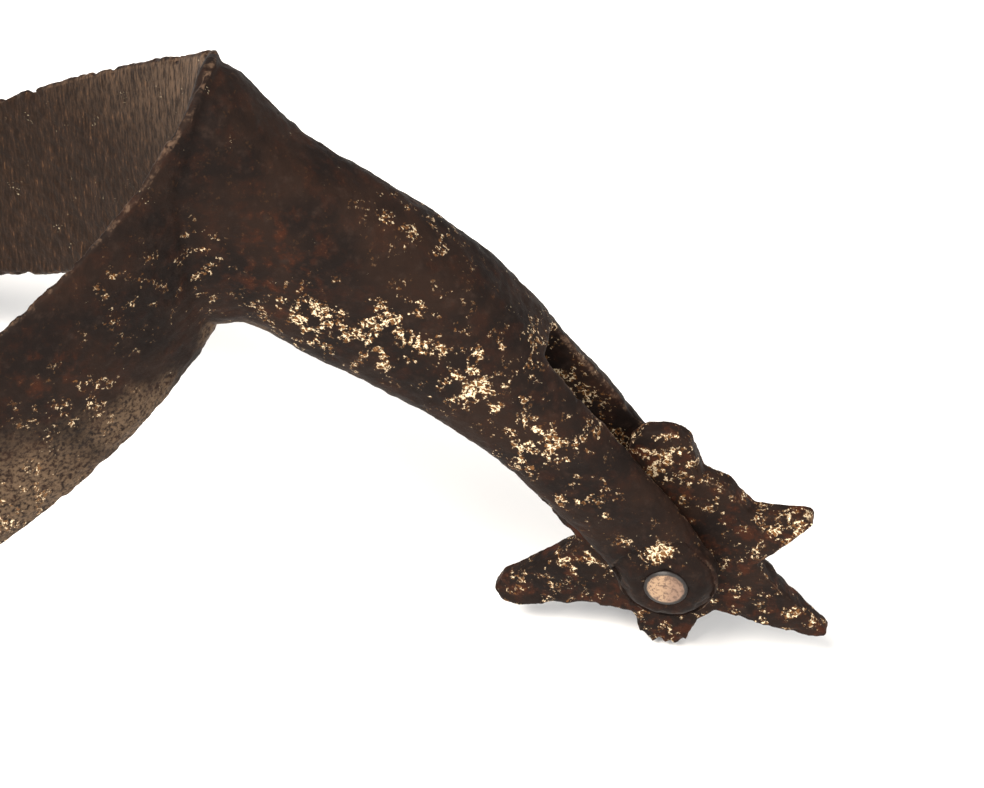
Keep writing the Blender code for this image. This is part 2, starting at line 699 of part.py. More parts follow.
ROOT = joint_point("spur_root", None, (0, 0, 0))
make_heel_band(ROOT)
make_neck(ROOT)
make_pin(ROOT)
make_rowel(ROOT)
make_stud_plate(ROOT)
make_sole_hook("near_sole_hook", ROOT, -1)
make_sole_hook("far_sole_hook", ROOT, 1)
make_buckle(ROOT)
set_down(ROOT)
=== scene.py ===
"""An old wrought-iron rowel spur, dug-up and rubbed clean in places, lying on a pale table.

The file follows the spur as it is put together: the forging of heel band and neck, the rowel and its pin,
then what hangs in the rings at the front. The studio is last. Lengths are in metres, and in millimetres
inside the materials.
"""

import json
from math import cos, pi, radians, sin

import bmesh
import bpy
import numpy as np
from mathutils import Matrix, Vector, noise


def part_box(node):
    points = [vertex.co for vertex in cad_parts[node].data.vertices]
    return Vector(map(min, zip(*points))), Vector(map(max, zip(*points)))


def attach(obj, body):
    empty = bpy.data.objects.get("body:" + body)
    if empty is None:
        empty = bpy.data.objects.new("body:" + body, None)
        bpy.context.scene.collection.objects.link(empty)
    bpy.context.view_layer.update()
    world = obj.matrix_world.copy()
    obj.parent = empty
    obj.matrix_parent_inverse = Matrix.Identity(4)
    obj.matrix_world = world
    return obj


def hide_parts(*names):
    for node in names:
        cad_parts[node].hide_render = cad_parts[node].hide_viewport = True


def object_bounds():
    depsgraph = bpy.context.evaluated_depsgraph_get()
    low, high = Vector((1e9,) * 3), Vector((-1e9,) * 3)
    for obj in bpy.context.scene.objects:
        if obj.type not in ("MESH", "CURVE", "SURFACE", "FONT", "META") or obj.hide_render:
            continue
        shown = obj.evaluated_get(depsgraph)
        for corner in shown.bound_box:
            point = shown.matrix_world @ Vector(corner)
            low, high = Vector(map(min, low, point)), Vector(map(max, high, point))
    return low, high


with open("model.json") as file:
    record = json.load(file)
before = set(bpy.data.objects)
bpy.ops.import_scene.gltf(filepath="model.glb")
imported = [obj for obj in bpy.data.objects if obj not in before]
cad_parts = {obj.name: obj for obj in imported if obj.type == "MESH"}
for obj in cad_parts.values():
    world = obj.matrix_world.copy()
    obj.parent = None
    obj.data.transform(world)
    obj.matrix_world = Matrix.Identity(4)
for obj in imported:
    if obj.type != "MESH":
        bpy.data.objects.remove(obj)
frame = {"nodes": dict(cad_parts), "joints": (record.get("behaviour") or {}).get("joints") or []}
CAD_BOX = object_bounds()
MM = 0.001


# --- Heel band and neck ---------------------------------------------------------------------------------
# One forging of wrought iron: a flat bar bent to a U round the heel and drawn up to a crest behind, with
# the neck fire-welded on under the crest and split at its end into the box that holds the rowel.
# Long years in the ground left it scaled and pitted, and handling has rubbed the high spots bright.
# The bright patches along the neck, on the boss and at the branches' lower edges are also painted highlight.

JOINT_PLACE = {joint["name"]: Vector(joint["pos_m"]) for joint in frame["joints"]}
AXLE = JOINT_PLACE["rowel_spin"]
FORGING_VOXEL = 0.26 * MM
WELD_OVERLAP = 1.3 * MM
WELD_FLARE = 0.12
WELD_REACH = 5 * MM
BOSS_RIM = 2.4 * MM
BOSS_DOME = 0.16
BOSS_REACH = 5.5 * MM
BOX_SIDE = 4.6 * MM
GROOVE_DEPTH = 0.12 * MM
GROOVE_WIDTH = 0.4 * MM
BRANCH_START = 3 * MM
BRANCH_EASE = 6 * MM
# place along the spur, and how much lower the near branch's upper edge is there
EDGE_WEAR_PLACES = [-40 * MM, -20 * MM, 22 * MM, 29 * MM, 33 * MM]
EDGE_WEAR = [0.0, 1.2 * MM, 2.0 * MM, 1.4 * MM, 0.0]

SCALE_BLACK = "#17110f"
SCALE_BROWN = "#231813"
RUST = "#381d12"
# a painted reflection of the white table, laid on in the grey zones
RUST_LIGHT = "#573927"
TABLE_REFLECTION_GREY = "#685543"
# cream of bare iron, and also a painted highlight where a rubbing zone sits on one
RUBBED_IRON_AND_HIGHLIGHT = "#f0dcb8"
SCALE_LIGHT = "#2d221d"
EDGE_TAN = "#5c493b"
# tan film of rust, and also painted highlight where a rubbing zone sits on one
GOLD_FILM_AND_HIGHLIGHT = "#6d4b2c"
SCALE_ROUGHNESS = 0.62
RUBBED_ROUGHNESS = 0.34
PIT_SIZE = 0.62
PIT_BEND = 1.1
ZONE_WANDER = 3.0
WELD_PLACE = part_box("neck")[0].x / MM
# title, feature size in mm, detail
GRAINS = [("cloud", 7.0, 3), ("mottle", 1.1, 5), ("rust", 1.9, 6), ("clump", 1.5, 4), ("loose", 2.6, 4),
          ("speck", 0.38, 4), ("dot", 0.26, 2)]
# title, grain it is cut from, where it starts, where it is full
MASKS = [("cloudy", "cloud", 0.38, 0.66), ("mottled", "mottle", 0.50, 0.85),
         ("rust_spots", "rust", 0.47, 0.68), ("rust_fleck", "speck", 0.55, 0.72),
         ("specks", "speck", 0.34, 0.62), ("dots", "dot", 0.63, 0.72),
         ("clumps", "clump", 0.44, 0.60), ("loosely", "loose", 0.62, 0.70)]
# title, masks multiplied
PRODUCTS = [("rusted", ("rust_spots", "rust_zone")), ("rust_specks", ("rusted", "rust_fleck")),
            ("painted_table_reflection", ("table_reflection_zone", "specks")), ("edge_worn", ("edge", "specks", "clumps")),
            ("film_pattern", ("clumps", "specks")), ("metal_pattern", ("metal", "clumps", "specks")),
            ("stray", ("dots", "loosely"))]
# where the stroke starts, where it is full, how much of it shows, colour; one layer shows more with height,
# as painted light towards the crest
FILED_COLOURS = [(0.20, 0.30, 1.0, "#1d140f"), (0.40, 0.68, 0.8, "#37271d"), (0.36, 0.64, "rise", "#625041"),
                 (0.60, 0.70, 0.6, "#6a4b33")]


def linear(colour):
    """The linear RGBA of an sRGB hex colour."""
    parts = [int(colour[i:i + 2], 16) / 255 for i in (1, 3, 5)]
    return [p / 12.92 if p <= 0.04045 else ((p + 0.055) / 1.055) ** 2.4 for p in parts] + [1.0]


def piece_from(name, *nodes):
    """A new object whose mesh is a copy of those CAD nodes' meshes, joined."""
    mesh = bpy.data.meshes.new(name)
    build = bmesh.new()
    for node in nodes:
        build.from_mesh(frame["nodes"][node].data)
    bmesh.ops.remove_doubles(build, verts=build.verts, dist=0.001 * MM)
    build.to_mesh(mesh)
    build.free()
    piece = bpy.data.objects.new(name, mesh)
    bpy.context.scene.collection.objects.link(piece)
    return piece


def points_of(piece):
    """The piece's points as an array."""
    points = np.zeros(len(piece.data.vertices) * 3)
    piece.data.vertices.foreach_get("co", points)
    return points.reshape(-1, 3)


def normals_of(piece):
    """The piece's point normals as an array."""
    normals = np.zeros(len(piece.data.vertices) * 3)
    piece.data.vertices.foreach_get("normal", normals)
    return normals.reshape(-1, 3)


def set_points(piece, points):
    """Moves the piece's points, and keeps them inside the box of the CAD model."""
    low, high = (np.array(corner) for corner in CAD_BOX)
    piece.data.vertices.foreach_set("co", np.clip(points, low, high).ravel())
    piece.data.update()


def relaxed(piece, points, rounds, share=0.5):
    """The points, each drawn some way towards the middle of its neighbours, that many times over."""
    ends = np.zeros(len(piece.data.edges) * 2, np.int64)
    piece.data.edges.foreach_get("vertices", ends)
    a, b = ends.reshape(-1, 2).T
    count = np.bincount(ends, minlength=len(points))[:, None]
    for _ in range(rounds):
        total = np.zeros_like(points)
        for axis in range(3):
            total[:, axis] = (np.bincount(a, points[b, axis], len(points))
                              + np.bincount(b, points[a, axis], len(points)))
        points = points + share * (total / count - points)
    return points


def remeshed(piece, voxel, rounds):
    """Gives the piece an even skin of small quads, its sharp corners rounded as a hammer leaves them."""
    remesh = piece.modifiers.new("even_skin", "REMESH")
    remesh.mode = "VOXEL"
    remesh.voxel_size = voxel
    mesh = bpy.data.meshes.new_from_object(piece.evaluated_get(bpy.context.evaluated_depsgraph_get()))
    piece.modifiers.clear()
    piece.data = mesh
    set_points(piece, relaxed(piece, points_of(piece), rounds))
    mesh.shade_smooth()


def mark_edges(piece, reach):
    """Stores how far each point stands proud of its neighbourhood, from 0.5 on the flat to 1 on an edge."""
    points = points_of(piece)
    around = relaxed(piece, points, reach)
    proud = np.einsum("ij,ij->i", points - around, normals_of(piece))
    spread = np.percentile(np.abs(proud), 97)
    edge = piece.data.attributes.new("edge", "FLOAT", "POINT")
    edge.data.foreach_set("value", np.clip(0.5 + 0.5 * proud / spread, 0, 1).astype(np.float32))
    return np.clip(proud / spread, 0, 1)


def field(points, size, seed):
    """Smooth noise from -1 to 1 at each point, with features of that size."""
    shift = Vector((seed, 2 * seed, 3 * seed))
    return np.array([noise.noise(Vector(p) / size + shift) for p in points]) * 1.6


def cells(points, size, seed):
    """Distance from each point to the nearest of scattered spots, 0 at a spot, about that far apart."""
    shift = Vector((seed, 2 * seed, 3 * seed))
    return np.array([noise.voronoi(Vector(p) / size + shift)[0][0] for p in points])


def forge(piece, proud, dents, rough, pits, nicks, seed, sunk=0.0):
    """Works the skin: broad hammer dents, a scaled roughness, rust pits, and nicks along the edges.

    The depths are in metres. The skin is first sunk by sunk. Dents and roughness go both ways about it, and
    pits and nicks go inwards.
    """
    points = points_of(piece)
    depth = sunk + dents * field(points, 5.5 * MM, seed)
    depth += rough * (field(points, 1.3 * MM, seed + 3) + 0.6 * field(points, 0.6 * MM, seed + 4))
    worn = np.clip(1 - cells(points, 1.5 * MM, seed + 5) / 0.42, 0, 1)
    depth += pits * worn * worn * (3 - 2 * worn) * (field(points, 6 * MM, seed + 7) > -0.15)
    depth += nicks * proud * np.clip(field(points, 1.8 * MM, seed + 9) - 0.2, 0, 1)
    set_points(piece, points - normals_of(piece) * depth[:, None])


def add(tree, kind, inputs, out=0, **settings):
    """Adds a shader node with its settings, sets or links its inputs, and gives one of its outputs."""
    made = tree.nodes.new("ShaderNode" + kind)
    for key, value in settings.items():
        setattr(made, key, value)
    for key, value in inputs.items():
        if isinstance(value, bpy.types.NodeSocket):
            tree.links.new(value, made.inputs[key])
        else:
            made.inputs[key].default_value = linear(value) if isinstance(value, str) else value
    return made.outputs[out] if made.outputs else None


def zone_mask(tree, place, zones, start=0.0):
    """A mask with each zone's strength about its centre, fading out over its size, and start elsewhere."""
    found = start
    for centre, size, strength in zones:
        apart = add(tree, "VectorMath", {0: place, 1: centre}, operation="SUBTRACT")
        share = add(tree, "VectorMath", {0: apart, 1: size}, operation="DIVIDE")
        length = add(tree, "VectorMath", {0: share}, out="Value", operation="LENGTH")
        inside = add(tree, "MapRange", {0: length, 1: 1.0, 2: 0.25, 4: strength},
                     interpolation_type="SMOOTHSTEP")
        found = add(tree, "Math", {0: found, 1: inside}, operation="MAXIMUM")
    return found


def inner_face(tree, place):
    """A mask of the band's inner faces, which look towards the middle plane, ahead of the weld."""
    spot = add(tree, "TexCoord", {}, out="Object")
    facing = add(tree, "TexCoord", {}, out="Normal")
    side = add(tree, "SeparateXYZ", {0: spot}, out="Y")
    side = add(tree, "Math", {0: side}, operation="SIGN")
    across = add(tree, "SeparateXYZ", {0: facing}, out="Y")
    inward = add(tree, "Math", {0: side, 1: across}, operation="MULTIPLY")
    inside = add(tree, "MapRange", {0: inward, 1: -0.15, 2: -0.5}, interpolation_type="SMOOTHSTEP")
    ahead = add(tree, "SeparateXYZ", {0: place}, out="X")
    ahead = add(tree, "MapRange", {0: ahead, 1: WELD_PLACE + 1, 2: WELD_PLACE - 1})
    return add(tree, "Math", {0: inside, 1: ahead}, operation="MULTIPLY")


def filed_layers(tree, place, inside):
    """The inner face of the band, filed across: brown, with tan flecks, and greyer towards the crest as
    painted light.
    """
    # File strokes run up the face, 0.28 mm wide and 1.7 mm long, leaning forward and broken by rust.
    stroke = add(tree, "Mapping", {0: place, "Rotation": (0.0, radians(-34), 0.0),
                                   "Scale": (1 / 0.28, 1 / 0.7, 1 / 1.7)})
    stroke = add(tree, "TexNoise", {"Vector": stroke, "Scale": 1.0, "Detail": 5.0, "Roughness": 0.72})
    # Towards the crest a lighter grey-brown layer comes in with height: painted light, where the face turns
    # to the key light.
    rise = add(tree, "SeparateXYZ", {0: place}, out="Z")
    rise = add(tree, "MapRange", {0: rise, 1: 40.0, 2: 62.0})
    layers = []
    for low, high, share, colour in FILED_COLOURS:
        mask = add(tree, "MapRange", {0: stroke, 1: low, 2: high}, interpolation_type="SMOOTHSTEP")
        mask = add(tree, "Math", {0: mask, 1: rise if share == "rise" else share}, operation="MULTIPLY")
        layers.append((add(tree, "Math", {0: mask, 1: inside}, operation="MULTIPLY"), colour))
    return layers


def wrought_iron(name, rubbed_and_highlit=(), rubbed_all=0.0, rusty=(), rust_all=0.22, painted_table_reflection=(), filed=False):
    """Fire-scaled wrought iron, pitted in the ground and rubbed bright on its high spots.

    Iron scale is a dark oxide, not bare metal: it gives a dull, near-black brown. Rust lies in the hollows
    and along the edges. Where it is rubbed, a crackle of bare metal 0.1 to 0.4 mm wide shows between the
    pits, cream in colour because a thin film of rust still tints it. Where the rubbing zones sit where the
    lamp is mirrored, that crackle and its tan film are painted highlight.
    The zone lists for rubbing, rust and grey give centre and size in millimetres, and strength. The grey
    zones are a painted reflection of the white table.
    """
    material = bpy.data.materials.new(name)
    material.use_nodes = True
    tree = material.node_tree
    tree.nodes.clear()
    place = add(tree, "TexCoord", {}, out="Object")
    place = add(tree, "VectorMath", {0: place, "Scale": 1000}, operation="SCALE")

    # Noise from broad clouds of scale down to specks, each with the size of its features in millimetres.
    grains = {}
    for title, size, detail in GRAINS:
        grains[title] = add(tree, "TexNoise", {"Vector": place, "Scale": 1 / size, "Detail": detail,
                                               "Roughness": 0.62})
    masks = {}
    for title, source, low, high in MASKS:
        masks[title] = add(tree, "MapRange", {0: grains[source], 1: low, 2: high},
                           interpolation_type="SMOOTHSTEP")
    # The crackle follows the walls between rust pits, bent out of shape.
    bend = add(tree, "TexNoise", {"Vector": place, "Scale": 1 / PIT_SIZE, "Detail": 3.0}, out="Color")
    bent = add(tree, "VectorMath", {0: bend, 1: (PIT_BEND,) * 3, 2: place}, operation="MULTIPLY_ADD")
    wall = add(tree, "TexVoronoi", {"Vector": bent, "Scale": 1 / PIT_SIZE}, feature="DISTANCE_TO_EDGE")
    masks["crackle"] = add(tree, "MapRange", {0: wall, 1: 0.16, 2: 0.03}, interpolation_type="SMOOTHSTEP")
    # Corners are rubbed through the scale, to a thin line of tan rust and old metal.
    edge = add(tree, "Attribute", {}, out="Fac", attribute_name="edge")
    masks["edge"] = add(tree, "MapRange", {0: edge, 1: 0.90, 2: 1.0, 4: 0.8}, interpolation_type="SMOOTHSTEP")
    # Zones have ragged outlines: the place that they are read at wanders by a few millimetres.
    roam = add(tree, "TexNoise", {"Vector": place, "Scale": 1 / ZONE_WANDER, "Detail": 4.0}, out="Color")
    roam = add(tree, "VectorMath", {0: roam, 1: (2 * ZONE_WANDER,) * 3, 2: place}, operation="MULTIPLY_ADD")
    roam = add(tree, "VectorMath", {0: roam, 1: (ZONE_WANDER,) * 3}, operation="SUBTRACT")
    masks["rust_zone"] = zone_mask(tree, roam, rusty, rust_all)
    masks["table_reflection_zone"] = zone_mask(tree, roam, painted_table_reflection)
    masks["metal"] = add(tree, "Math", {0: masks["crackle"], 1: masks["dots"]}, operation="MAXIMUM")
    for title, parts in PRODUCTS:
        masks[title] = masks[parts[0]]
        for part in parts[1:]:
            masks[title] = add(tree, "Math", {0: masks[title], 1: masks[part]}, operation="MULTIPLY")
    # The harder a place is rubbed, the more of the pattern has come through, all of it fully bright.
    # Where a rubbing zone sits where the lamp is mirrored, this brightness is a painted highlight.
    rub_and_highlight = zone_mask(tree, roam, rubbed_and_highlit, rubbed_all)
    if filed:
        inner = inner_face(tree, place)
        rub_and_highlight = add(tree, "Math", {0: rub_and_highlight, 1: add(tree, "Math", {0: 1.0, 1: inner}, operation="SUBTRACT")},
                  operation="MULTIPLY")
    # The tan film between the specks comes through in the same zones, so it too is partly painted highlight.
    for title, pattern, start, full in (("rubbed_and_highlit", "metal_pattern", 0.98, 1.45),
                                        ("gold_film_and_highlight", "film_pattern", 0.86, 1.60)):
        reached = add(tree, "Math", {0: masks[pattern], 1: rub_and_highlight}, operation="ADD")
        masks[title] = add(tree, "MapRange", {0: reached, 1: start, 2: full}, interpolation_type="SMOOTHSTEP")
    bright_metal_and_highlight = add(tree, "Math", {0: masks["rubbed_and_highlit"], 1: masks["stray"]}, operation="MAXIMUM")

    # The grey layer is a painted reflection of the white table.
    layers = [(masks["cloudy"], SCALE_BROWN), (masks["mottled"], SCALE_LIGHT), (masks["rusted"], RUST),
              (masks["rust_specks"], RUST_LIGHT), (masks["painted_table_reflection"], TABLE_REFLECTION_GREY)]
    if filed:
        layers += filed_layers(tree, place, inner)
    layers += [(masks["gold_film_and_highlight"], GOLD_FILM_AND_HIGHLIGHT), (masks["edge_worn"], EDGE_TAN), (bright_metal_and_highlight, RUBBED_IRON_AND_HIGHLIGHT)]
    colour = SCALE_BLACK
    for mask, above in layers:
        colour = add(tree, "Mix", {0: mask, 6: colour, 7: above}, out=2, data_type="RGBA")

    # The finest roughness: pits go in, and the rubbed walls between them stay proud.
    height = add(tree, "Math", {0: bright_metal_and_highlight, 1: 0.6, 2: grains["speck"]}, operation="MULTIPLY_ADD")
    bump = add(tree, "Bump", {"Height": height, "Strength": 0.7, "Distance": 0.10 * MM})
    rough = add(tree, "MapRange", {0: bright_metal_and_highlight, 3: SCALE_ROUGHNESS, 4: RUBBED_ROUGHNESS})
    metallic = add(tree, "Math", {0: bright_metal_and_highlight, 1: 0.75}, operation="MULTIPLY")
    surface = add(tree, "BsdfPrincipled", {"Base Color": colour, "Metallic": metallic, "Roughness": rough,
                                           "Specular IOR Level": 0.06, "Normal": bump})
    add(tree, "OutputMaterial", {"Surface": surface})
    return material


forging = piece_from("heel_band_and_neck", "neck")
points = points_of(forging)
root = points[:, 0].min()
# The welded root of the neck runs on into the band, and widens towards it as the metal was driven home.
near_root = np.clip(1 - (points[:, 0] - root) / WELD_REACH, 0, 1) ** 2
middle = np.array((0.0, points[near_root > 0][:, 2].mean()))
points[:, 1:] += (points[:, 1:] - middle) * (WELD_FLARE * near_root[:, None])
points[:, 0] -= np.where(near_root > 0.6, WELD_OVERLAP, 0)
forging.data.vertices.foreach_set("co", points.ravel())
whole = bmesh.new()
whole.from_mesh(forging.data)
whole.from_mesh(frame["nodes"]["heel_band"].data)
whole.to_mesh(forging.data)
whole.free()
remeshed(forging, FORGING_VOXEL, rounds=3)

# The eye of the box is hammered to a dome, with a faint hollow round the peened pin.
points = points_of(forging)
out = np.hypot(points[:, 0] - AXLE.x, points[:, 2] - AXLE.z)
on_face = (np.abs(points[:, 1]) > BOX_SIDE) & (out < BOSS_REACH)
groove = GROOVE_DEPTH * np.exp(-((out - BOSS_RIM) / GROOVE_WIDTH) ** 2)
groove += BOSS_DOME * np.clip(out - BOSS_RIM, 0, None)
points[:, 1] -= np.where(on_face, np.sign(points[:, 1]) * groove, 0)

# Its upper edge on the near branch has worn lower than on the far one.
near = points[:, 1] < -BRANCH_START
column = np.round(points[:, 0] / MM).astype(int)
column -= column.min()
top = np.full(column.max() + 1, -1.0)
bottom = np.full(column.max() + 1, 1.0)
np.maximum.at(top, column[near], points[near, 2])
np.minimum.at(bottom, column[near], points[near, 2])
share = np.clip((points[:, 2] - bottom[column]) / np.maximum(top[column] - bottom[column], MM), 0, 1)
stretch = np.interp(points[:, 0], EDGE_WEAR_PLACES, EDGE_WEAR)
stretch *= np.clip((-points[:, 1] - BRANCH_START) / BRANCH_EASE, 0, 1)
points[:, 2] -= stretch * share ** 2
set_points(forging, points)
forge(forging, mark_edges(forging, 30), dents=0.13 * MM, rough=0.055 * MM, pits=0.10 * MM,
      nicks=0.60 * MM, seed=4)
# The rubbing zones run along the neck's near flank, over the boss above the pin and along the branches' lower
# edges, where the lamp and the white table are mirrored: partly rubbed metal, partly painted highlight.
forging.data.materials.append(wrought_iron(
    "wrought_iron_scaled_rubbed_and_highlit",
    rubbed_and_highlit=[((AXLE.x / MM - 34, 0, 41), (11, 14, 8), 0.85), ((AXLE.x / MM - 27, 0, 40), (12, 14, 9), 0.85),
            ((AXLE.x / MM - 19, 0, 36), (9, 12, 8), 1.15), ((AXLE.x / MM - 13, 0, 29), (8, 12, 7), 0.95),
            ((AXLE.x / MM - 8, 0, 22.5), (7, 12, 6), 0.85), ((AXLE.x / MM - 1, 0, 17), (5, 10, 5), 1.4),
            ((AXLE.x / MM - 22, 0, 51), (14, 8, 7), 0.5), ((33, -7, 46), (6, 6, 9), 0.4),
            ((28.5, -13, 47), (8, 6, 8), 0.4), ((24, -17, 37), (9, 8, 8), 0.4),
            ((18, -21, 27), (10, 8, 8), 0.5), ((-20, 38, 14), (40, 8, 9), 0.40),
            ((-30, -38, 12), (40, 8, 9), 0.40), ((20, 20, 40), (14, 8, 9), 0.45)],
    rusty=[((40, -9, 47), (7, 12, 13), 0.9), ((22, -19, 42), (5, 5, 5), 0.8)],
    # The grey zones, low on the near side, are a painted reflection of the white table.
    painted_table_reflection=[((19, -20, 28), (13, 10, 10), 0.8), ((28, -13, 33), (9, 8, 5), 0.8),
            ((35, -4, 37), (5, 6, 3), 0.8), ((-10, -36, 20), (40, 8, 6), 0.8)],
    filed=True))
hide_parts("heel_band", "neck")
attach(forging, "yoke")


# --- Rowel pin ------------------------------------------------------------------------------------------
# A soft iron pin, hammered over cold at both ends until it filled the countersunk eyes of the box.
# Its flat ends are what the hand and the ground polish most, so they are pale and almost clean.

PIN_FACE_RADIUS = 1.65 * MM
PIN_SKIRT_RADIUS = 2.15 * MM
PIN_SHANK_RADIUS = 1.5 * MM
PIN_SIDES = 96
# the lit and the shaded side of the pin's face, as painted shade
PIN_LIT_SILVER = "#a98d72"
PIN_SHADED_PINK = "#8b7160"
PIN_PIT = "#6b564a"

pin_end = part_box("rowel_pin")[1].y
# radius, height along the pin, for the half at +Y
PIN_PROFILE = [(0.0, pin_end), (0.5 * PIN_FACE_RADIUS, pin_end), (0.9 * PIN_FACE_RADIUS, pin_end - 0.02 * MM),
               (PIN_FACE_RADIUS, pin_end - 0.08 * MM), (1.05 * PIN_FACE_RADIUS, pin_end - 0.22 * MM),
               (PIN_SKIRT_RADIUS, pin_end - 0.30 * MM), (PIN_SKIRT_RADIUS, pin_end - 0.80 * MM),
               (PIN_SHANK_RADIUS, pin_end - 1.10 * MM)]
profile = PIN_PROFILE + [(radius, -along) for radius, along in reversed(PIN_PROFILE)]


def turned_about_axle(name, profile, sides):
    """A closed turned piece about the rowel's axle, from (radius, place along the axle) rows."""
    build = bmesh.new()
    rings = []
    for radius, along in profile:
        if radius == 0:
            rings.append([build.verts.new(AXLE + Vector((0, along, 0)))] * sides)
            continue
        angles = [2 * pi * i / sides for i in range(sides)]
        rings.append([build.verts.new(AXLE + Vector((radius * cos(a), along, radius * sin(a))))
                      for a in angles])
    for one, two in zip(rings, rings[1:]):
        for i in range(sides):
            corners = [one[i], one[i - 1], two[i - 1], two[i]]
            build.faces.new(list(dict.fromkeys(corners)))
    bmesh.ops.recalc_face_normals(build, faces=build.faces)
    mesh = bpy.data.meshes.new(name)
    build.to_mesh(mesh)
    build.free()
    made = bpy.data.objects.new(name, mesh)
    bpy.context.scene.collection.objects.link(made)
    return made


def peened_iron(name):
    """Peened soft iron, rubbed clean: pale, pinkish silver in the middle, darker towards +X as painted shade,
    with scale round its rim.
    """
    material = bpy.data.materials.new(name)
    material.use_nodes = True
    tree = material.node_tree
    tree.nodes.clear()
    place = add(tree, "TexCoord", {}, out="Object")
    place = add(tree, "VectorMath", {0: place, "Scale": 1000}, operation="SCALE")
    apart = add(tree, "VectorMath", {0: place, 1: tuple(AXLE / MM)}, operation="SUBTRACT")
    apart = add(tree, "VectorMath", {0: apart, 1: (1.0, 0.0, 1.0)}, operation="MULTIPLY")
    out = add(tree, "VectorMath", {0: apart}, out="Value", operation="LENGTH")
    lean = add(tree, "SeparateXYZ", {0: apart}, out="X")
    marks = add(tree, "TexNoise", {"Vector": place, "Scale": 1 / 0.45, "Detail": 6.0, "Roughness": 0.7})
    ragged = add(tree, "Math", {0: marks, 1: 0.5, 2: out}, operation="MULTIPLY_ADD")
    rim = add(tree, "MapRange", {0: ragged, 1: 1.98, 2: 2.16}, interpolation_type="SMOOTHSTEP")
    # The face goes from pale silver on the -X side to darker pink on the +X side: painted shade.
    painted_shade = add(tree, "MapRange", {0: lean, 1: -0.6, 2: 0.9}, interpolation_type="SMOOTHSTEP")
    pits = add(tree, "MapRange", {0: marks, 1: 0.54, 2: 0.40}, interpolation_type="SMOOTHSTEP")
    colour = add(tree, "Mix", {0: painted_shade, 6: PIN_LIT_SILVER, 7: PIN_SHADED_PINK}, out=2, data_type="RGBA")
    colour = add(tree, "Mix", {0: pits, 6: colour, 7: PIN_PIT}, out=2, data_type="RGBA")
    colour = add(tree, "Mix", {0: rim, 6: colour, 7: SCALE_BLACK}, out=2, data_type="RGBA")
    clean = add(tree, "Math", {0: 1.0, 1: rim}, operation="SUBTRACT")
    metallic = add(tree, "Math", {0: clean, 1: 0.7}, operation="MULTIPLY")
    bump = add(tree, "Bump", {"Height": marks, "Strength": 0.6, "Distance": 0.05 * MM})
    surface = add(tree, "BsdfPrincipled", {"Base Color": colour, "Metallic": metallic, "Roughness": 0.46,
                                           "Normal": bump})
    add(tree, "OutputMaterial", {"Surface": surface})
    return material


pin = turned_about_axle("peened_rowel_pin", profile, PIN_SIDES)
pin.data.shade_smooth()
pin.data.materials.append(peened_iron("peened_soft_iron"))
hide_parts("rowel_pin")
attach(pin, "yoke")


# --- Rowel ----------------------------------------------------------------------------------------------
# A six-pointed star cut and filed from iron plate and punched for its pin. It is thickest at the hub. Its
# points have worn unlike each other, and the one it rests on has broken off short.

ROWEL_HUB = 8.5 * MM
ROWEL_REACH = 19 * MM
ROWEL_TIP_SHARE = 0.62
STUB_BREAK = 0.8 * MM
STUB_START = 9.5 * MM
STUB_EASE = 2 * MM
STUB_HALF_WIDTH = 4 * MM

rowel = piece_from("filed_rowel", "rowel")
remeshed(rowel, 0.2 * MM, rounds=4)
points = points_of(rowel)
away = points - np.array(AXLE)
out = np.hypot(away[:, 0], away[:, 2])
thin = 1 - (1 - ROWEL_TIP_SHARE) * np.clip((out - ROWEL_HUB) / (ROWEL_REACH - ROWEL_HUB), 0, 1)
points[:, 1] *= thin
# The broken stub: ragged where the iron tore.
torn = np.clip((-away[:, 2] - STUB_START) / STUB_EASE, 0, 1) * (np.abs(away[:, 0]) < STUB_HALF_WIDTH)
points[:, 2] += torn * STUB_BREAK * np.clip(0.3 + field(points, 0.9 * MM, 31), 0, 1)
set_points(rowel, points)
forge(rowel, mark_edges(rowel, 14), dents=0.05 * MM, rough=0.045 * MM, pits=0.14 * MM, nicks=0.45 * MM,
      seed=12)
ax, az = AXLE.x / MM, AXLE.z / MM
# The rubbing zones on the rowel's near face are partly wear and partly painted highlight.
rowel.data.materials.append(wrought_iron(
    "filed_iron_rusted",
    rubbed_and_highlit=[((ax - 1, -1.3, az + 13), (5, 6, 5), 0.85), ((ax + 12, -1.3, az + 6), (6, 6, 3), 0.85),
            ((ax - 8, -1.3, az - 2), (6, 6, 3), 0.75), ((ax + 13, -1.3, az - 6), (6, 6, 3), 0.75)],
    rubbed_all=0.40, rust_all=0.95,
    rusty=[((ax + 4, 0, az + 3), (9, 4, 9), 1.0), ((ax, 0, az - 11), (6, 4, 6), 1.0)]))
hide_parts("rowel")
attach(rowel, "rowel")


# --- Stud plate, sole hooks and buckle --------------------------------------------------------------------
# Small smith's work of drawn wire and plate, all hung in the rings that the branches end in: a plate with
# a riveted stud for the strap, two S hooks for what goes under the sole, and the buckle with its link.
# They are thinner than the band, so rust has taken their scale evenly, with bright specks all over.

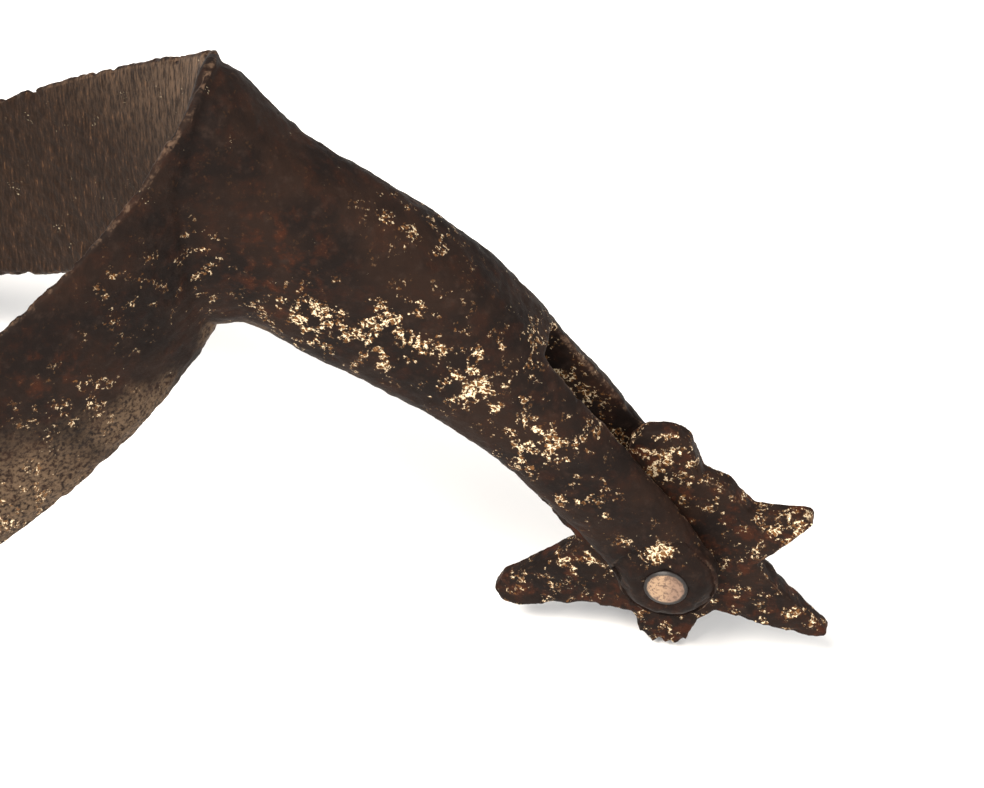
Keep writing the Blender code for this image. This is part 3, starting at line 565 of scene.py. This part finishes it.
# new piece, CAD node, body, voxel in mm, rounds of rounding, roughness in mm
FITTINGS = [("forged_stud_plate", "stud_plate", "stud_plate", 0.16, 3, 0.030),
            ("turned_strap_stud", "strap_stud", "stud_plate", 0.12, 2, 0.015),
            ("near_sole_wire_hook", "near_sole_hook", "near_sole_hook", 0.14, 3, 0.020),
            ("far_sole_wire_hook", "far_sole_hook", "far_sole_hook", 0.14, 3, 0.020),
            ("forged_buckle_link", "buckle_link", "buckle_link", 0.14, 3, 0.022),
            ("bent_buckle_frame", "buckle_frame", "buckle", 0.16, 3, 0.025),
            ("drawn_buckle_bar", "buckle_bar", "buckle", 0.12, 2, 0.010),
            ("drawn_buckle_tongue", "buckle_tongue", "tongue", 0.12, 2, 0.015)]

smithed = wrought_iron("smithed_iron_fittings", rubbed_all=0.42, rust_all=0.6)
for count, (name, cad_node, body, voxel, rounds, roughness) in enumerate(FITTINGS):
    fitting = piece_from(name, cad_node)
    remeshed(fitting, voxel * MM, rounds)
    forge(fitting, mark_edges(fitting, 10), dents=roughness * MM, rough=roughness * MM,
          pits=2 * roughness * MM, nicks=2 * roughness * MM, seed=40 + count, sunk=2.5 * roughness * MM)
    fitting.data.materials.append(smithed)
    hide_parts(cad_node)
    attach(fitting, body)


# --- Floor, light and camera ----------------------------------------------------------------------------
# A white table under a broad warm key light from the upper left, with a weak fill from the right and a
# white surround.

bpy.ops.mesh.primitive_plane_add(size=4, location=(0, 0, CAD_BOX[0][2]))
table = bpy.context.object
table.name = "table"
paper = bpy.data.materials.new("matt_white_card")
paper.use_nodes = True
paper.node_tree.nodes["Principled BSDF"].inputs["Base Color"].default_value = linear("#fbfbfb")
paper.node_tree.nodes["Principled BSDF"].inputs["Roughness"].default_value = 0.9
table.data.materials.append(paper)

scene = bpy.context.scene
scene.view_settings.view_transform = "Standard"
world = bpy.data.worlds.new("studio")
scene.world = world
world.use_nodes = True
world.node_tree.nodes["Background"].inputs["Color"].default_value = linear("#ffffff")
world.node_tree.nodes["Background"].inputs["Strength"].default_value = 0.68


def lamp(name, place, power, size, colour):
    """A soft square light, aimed at the middle of the spur."""
    light = bpy.data.lights.new(name, "AREA")
    light.energy = power
    light.size = size
    light.color = linear(colour)[:3]
    holder = bpy.data.objects.new(name, light)
    holder.location = place
    holder.rotation_euler = (AXLE - Vector(place)).to_track_quat("-Z", "Y").to_euler()
    scene.collection.objects.link(holder)


lamp("key_light", (-0.25, -0.35, 0.75), 14.0, 0.45, "#fff6eb")
lamp("fill_light", (0.60, -0.45, 0.45), 3.0, 0.60, "#fffaf2")

CAMERA_TURN = radians(7.39)
CAMERA_RISE = radians(41.38)
CAMERA_ROLL = radians(2.56)
CAMERA_DISTANCE = 0.3048
CAMERA_LENS = 116.72
AIM_FROM_AXLE = Vector((-0.01858, 0.0, 0.01730))
aim = AXLE + AIM_FROM_AXLE
back = Vector((sin(CAMERA_TURN) * cos(CAMERA_RISE), -cos(CAMERA_TURN) * cos(CAMERA_RISE), sin(CAMERA_RISE)))
lens = bpy.data.cameras.new("camera")
lens.lens = CAMERA_LENS
lens.clip_start = 0.01
camera = bpy.data.objects.new("camera", lens)
camera.location = aim + back * CAMERA_DISTANCE
turn = back.to_track_quat("Z", "Y").to_matrix().to_4x4()
camera.rotation_euler = (turn @ Matrix.Rotation(CAMERA_ROLL, 4, "Z")).to_euler()
scene.collection.objects.link(camera)
scene.camera = camera
